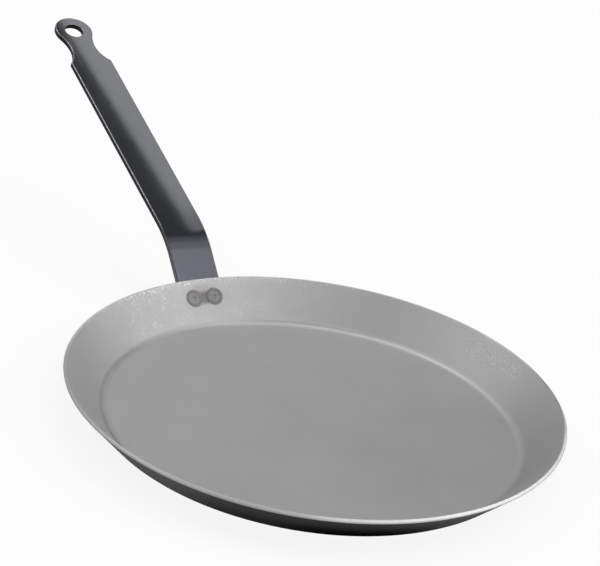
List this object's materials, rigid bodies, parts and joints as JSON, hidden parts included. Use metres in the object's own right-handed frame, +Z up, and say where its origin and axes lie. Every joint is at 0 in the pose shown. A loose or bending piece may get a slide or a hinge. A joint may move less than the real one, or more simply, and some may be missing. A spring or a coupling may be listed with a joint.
{
  "type": "crepe pan",
  "caption": "Shallow round steel pan with a low flared wall and a long flat strip handle, bent up and spot welded outside the wall, with a hanging hole in its rounded eye.",
  "frame": {"origin": "centre of the pan's flat underside, on the surface that it stands on", "axes": "+X out over the handle in its plane of symmetry, +Z up out of the pan, +Y across the handle"},
  "size_m": [0.4171, 0.24, 0.0948],
  "materials": {
    "pan_steel": "bare carbon steel, blasted to a soft even grey sheen, darker outside",
    "handle_finish": "smooth satin near-black coating with a bluish cast, worn thin along the edges",
    "weld_steel": "bare steel darkened by welding heat, lighter where the electrode pressed"
  },
  "bodies": {
    "root": {"pan_body": "pan_steel", "handle": "handle_finish", "weld_left": "weld_steel", "weld_right": "weld_steel"}
  },
  "joints": []
}
